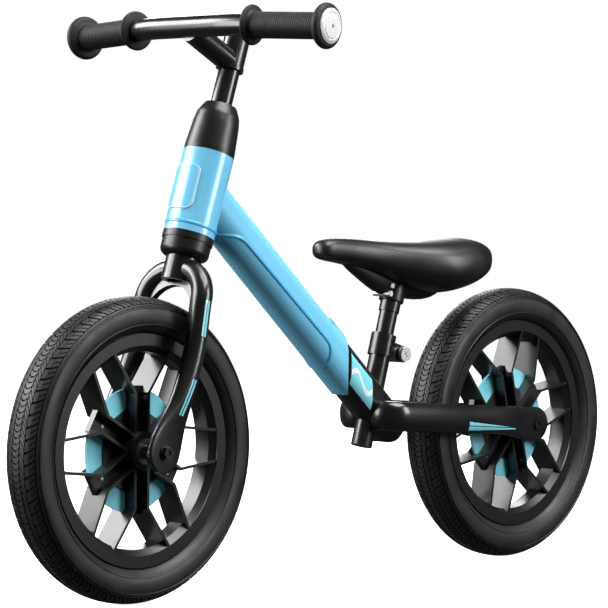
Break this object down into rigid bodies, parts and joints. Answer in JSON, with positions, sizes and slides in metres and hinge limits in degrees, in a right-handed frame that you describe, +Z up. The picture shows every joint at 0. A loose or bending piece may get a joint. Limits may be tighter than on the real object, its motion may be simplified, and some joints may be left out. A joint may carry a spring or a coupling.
{
  "type": "balance bike",
  "caption": "Low child's balance bike with bladed wheels, a blue moulded frame cover, a steered fork, a raised bar and a sliding saddle.",
  "frame": {"origin": "on the ground midway between the two axles", "axes": "+X forward, +Y to the rider's left, +Z up"},
  "size_m": [0.886, 0.3638, 0.5919],
  "materials": {
    "black_paint": "gloss",
    "black_plastic": "satin",
    "blue_plastic": "gloss",
    "badge": "gloss",
    "steel": "satin",
    "dark_steel": "satin",
    "grip_rubber": "matte",
    "plug_plastic": "gloss",
    "saddle_skin": "satin",
    "tyre": "matte",
    "tyre_foam": "matte",
    "rim_plastic": "satin",
    "light_plastic": "gloss",
    "lamp": "gloss"
  },
  "bodies": {
    "frame": {"head_tube": "black_paint", "main_tube": "black_paint", "seat_tube": "black_paint", "seat_tube_plug": "black_plastic", "rear_arm_left": "black_paint", "rear_arm_right": "black_paint", "shell_left": "blue_plastic", "shell_right": "blue_plastic", "head_badge": "badge", "lower_head_ring": "black_plastic", "lower_cup": "black_plastic", "upper_cup": "steel", "upper_head_ring": "black_plastic", "headset_cover": "black_plastic", "seat_clamp": "black_paint", "seat_clamp_bolt": "steel", "rear_axle": "steel", "rear_axle_bolts": "dark_steel", "rear_spacers": "dark_steel"},
    "fork": {"steerer_crown": "black_paint", "fork_leg_left": "black_paint", "fork_leg_right": "black_paint", "crown_race": "steel", "lower_ball_ring": "steel", "upper_ball_ring": "steel", "upper_race": "steel", "lock_nut": "steel", "front_axle": "steel", "front_axle_bolts": "dark_steel", "front_spacers": "dark_steel"},
    "handlebar": {"quill_tube": "black_paint", "stem_head": "black_paint", "handlebar_tube": "black_paint", "grip_left": "grip_rubber", "grip_right": "grip_rubber", "bar_plug_left": "plug_plastic", "bar_plug_right": "plug_plastic", "expander_wedge": "steel", "expander_bolt": "steel"},
    "saddle": {"seat_post": "black_paint", "saddle_base": "black_plastic", "saddle_cover": "saddle_skin", "saddle_bolts": "steel"},
    "front_wheel": {"front_tyre": "tyre", "front_tyre_core": "tyre_foam", "front_rim_left": "rim_plastic", "front_rim_right": "rim_plastic", "front_light_disc": "light_plastic", "front_lamps": "lamp", "front_hub_sleeve": "steel", "front_bearings": "steel"},
    "rear_wheel": {"rear_tyre": "tyre", "rear_tyre_core": "tyre_foam", "rear_rim_left": "rim_plastic", "rear_rim_right": "rim_plastic", "rear_light_disc": "light_plastic", "rear_lamps": "lamp", "rear_hub_sleeve": "steel", "rear_bearings": "steel"}
  },
  "joints": [
    {"name": "steering", "type": "hinge", "parent": "frame", "child": "fork", "pos_m": [0.28597, 0, 0.15032], "axis": [-0.3173, 0, 0.9483], "range_deg": [-90, 90]},
    {"name": "front_wheel_spin", "type": "hinge", "parent": "fork", "child": "front_wheel", "pos_m": [0.291, 0, 0.152], "axis": [0, 1, 0], "continuous": true},
    {"name": "rear_wheel_spin", "type": "hinge", "parent": "frame", "child": "rear_wheel", "pos_m": [-0.291, 0, 0.152], "axis": [0, 1, 0], "continuous": true},
    {"name": "bar_height", "type": "slide", "parent": "fork", "child": "handlebar", "axis": [-0.3173, 0, 0.9483], "range_m": [-0.03, 0.025]},
    {"name": "saddle_height", "type": "slide", "parent": "frame", "child": "saddle", "axis": [-0.284, 0, 0.9588], "range_m": [-0.022, 0.045]}
  ]
}
